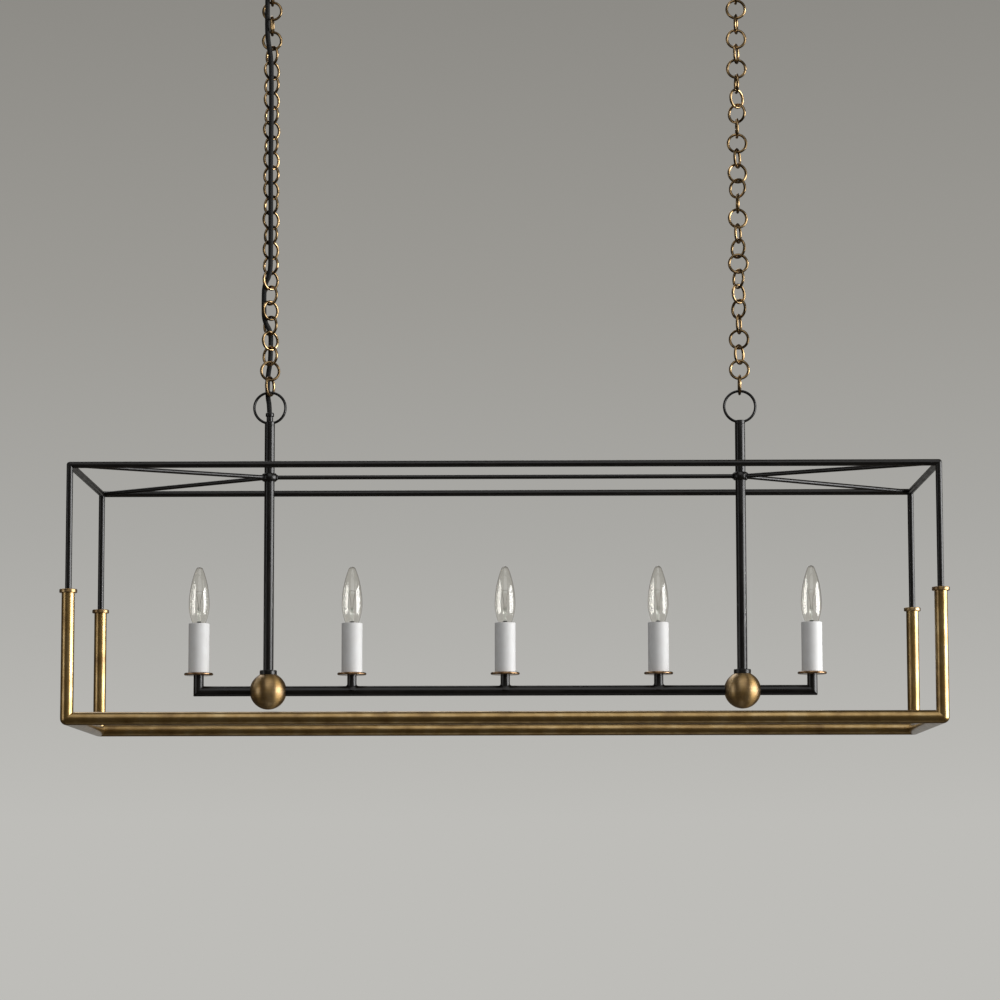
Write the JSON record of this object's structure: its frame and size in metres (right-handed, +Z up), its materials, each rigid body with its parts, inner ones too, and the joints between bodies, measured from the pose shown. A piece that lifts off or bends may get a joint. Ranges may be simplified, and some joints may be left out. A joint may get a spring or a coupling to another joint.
{
  "type": "linear island pendant light",
  "caption": "Rectangular open-frame linear pendant with brass lower tubes, black rods, candle lights along an arm, hung by chains from round canopies.",
  "frame": {"origin": "on the ceiling plane, midway between the two canopies", "axes": "+X along the frame's length to the right seen from the front, +Y to the back, +Z up"},
  "size_m": [1.0726, 0.3264, 1.0101],
  "materials": {
    "black_steel": "satin black powder coat",
    "brushed_brass": "brushed, lightly aged, lacquered",
    "aged_brass": "darker aged brass",
    "chain_metal": "antique dark brass plated wire",
    "canopy_black": "satin black powder coat",
    "zinc_steel": "zinc plated",
    "cord_cloth": "woven black cover",
    "candle_white": "matt white",
    "holder_black": "moulded",
    "shell_brass": "bright pressed brass",
    "bulb_glass": "clear",
    "mount_glass": "clear press with fine wires"
  },
  "bodies": {
    "ceiling": {"canopy_left": "canopy_black", "canopy_right": "canopy_black", "canopy_loop_left": "canopy_black", "canopy_loop_right": "canopy_black", "crossbars": "zinc_steel", "crossbar_hardware": "zinc_steel", "collar_rings": "canopy_black"},
    "left_top_link": {"top_link_left": "chain_metal"},
    "left_chain": {"chain_left": "chain_metal", "supply_cord": "cord_cloth"},
    "left_bottom_link": {"bottom_link_left": "chain_metal"},
    "right_top_link": {"top_link_right": "chain_metal"},
    "right_chain": {"chain_right": "chain_metal"},
    "right_bottom_link": {"bottom_link_right": "chain_metal"},
    "bulb_1": {"bulb_1_glass": "bulb_glass", "bulb_1_cap": "shell_brass", "bulb_1_mount": "mount_glass"},
    "bulb_2": {"bulb_2_glass": "bulb_glass", "bulb_2_cap": "shell_brass", "bulb_2_mount": "mount_glass"},
    "bulb_3": {"bulb_3_glass": "bulb_glass", "bulb_3_cap": "shell_brass", "bulb_3_mount": "mount_glass"},
    "bulb_4": {"bulb_4_glass": "bulb_glass", "bulb_4_cap": "shell_brass", "bulb_4_mount": "mount_glass"},
    "bulb_5": {"bulb_5_glass": "bulb_glass", "bulb_5_cap": "shell_brass", "bulb_5_mount": "mount_glass"},
    "fixture": {"ball_collars": "black_steel", "balls": "brushed_brass", "bottom_corners": "brushed_brass", "bottom_rail_back": "brushed_brass", "bottom_rail_ends": "brushed_brass", "bottom_rail_front": "brushed_brass", "brace_hubs": "black_steel", "braces": "black_steel", "candle_sleeve_1": "candle_white", "candle_sleeve_2": "candle_white", "candle_sleeve_3": "candle_white", "candle_sleeve_4": "candle_white", "candle_sleeve_5": "candle_white", "centre_arm": "black_steel", "cord_bushing": "black_steel", "drip_dishes": "aged_brass", "end_arms": "black_steel", "hang_ring_left": "black_steel", "hang_ring_right": "black_steel", "holder_shells": "shell_brass", "lamp_holders": "holder_black", "post_collars": "brushed_brass", "post_rods": "black_steel", "post_sleeves": "brushed_brass", "stem_left": "black_steel", "stem_right": "black_steel", "tie_bar": "black_steel", "top_corners": "black_steel", "top_rail_back": "black_steel", "top_rail_ends": "black_steel", "top_rail_front": "black_steel"}
  },
  "joints": [
    {"name": "swing", "type": "hinge", "parent": "ceiling", "child": "left_top_link", "pos_m": [-0.2955, 0, -0.0664], "axis": [1, 0, 0], "range_deg": [-15, 15], "deforming": ["supply_cord"]},
    {"name": "sway", "type": "hinge", "parent": "left_top_link", "child": "left_chain", "pos_m": [-0.2955, 0, -0.08535], "axis": [0, 1, 0], "range_deg": [-12, 12], "deforming": ["supply_cord"]},
    {"name": "level", "type": "hinge", "parent": "left_chain", "child": "left_bottom_link", "pos_m": [-0.2955, 0, -0.56555], "axis": [0, 1, 0], "range_deg": [-12, 12], "deforming": ["supply_cord"]},
    {"name": "rock", "type": "hinge", "parent": "left_bottom_link", "child": "fixture", "pos_m": [-0.2955, 0, -0.577], "axis": [1, 0, 0], "range_deg": [-12, 12], "deforming": ["supply_cord"]},
    {"name": "swing_right", "type": "hinge", "parent": "ceiling", "child": "right_top_link", "pos_m": [0.2955, 0, -0.0664], "axis": [1, 0, 0], "range_deg": [-15, 15]},
    {"name": "sway_right", "type": "hinge", "parent": "right_top_link", "child": "right_chain", "pos_m": [0.2955, 0, -0.08535], "axis": [0, 1, 0], "range_deg": [-12, 12]},
    {"name": "level_right", "type": "hinge", "parent": "right_chain", "child": "right_bottom_link", "pos_m": [0.2955, 0, -0.56555], "axis": [0, 1, 0], "range_deg": [-12, 12]},
    {"name": "bulb_1_out", "type": "slide", "parent": "fixture", "child": "bulb_1", "axis": [0, 0, 1], "range_m": [0, 0.032]},
    {"name": "bulb_2_out", "type": "slide", "parent": "fixture", "child": "bulb_2", "axis": [0, 0, 1], "range_m": [0, 0.032]},
    {"name": "bulb_3_out", "type": "slide", "parent": "fixture", "child": "bulb_3", "axis": [0, 0, 1], "range_m": [0, 0.032]},
    {"name": "bulb_4_out", "type": "slide", "parent": "fixture", "child": "bulb_4", "axis": [0, 0, 1], "range_m": [0, 0.032]},
    {"name": "bulb_5_out", "type": "slide", "parent": "fixture", "child": "bulb_5", "axis": [0, 0, 1], "range_m": [0, 0.032]}
  ],
  "couplings": [
    {"joint": "level", "follows": "sway", "ratio": -1},
    {"joint": "swing_right", "follows": "swing", "ratio": 1},
    {"joint": "sway_right", "follows": "sway", "ratio": 1},
    {"joint": "level_right", "follows": "sway", "ratio": -1}
  ]
}
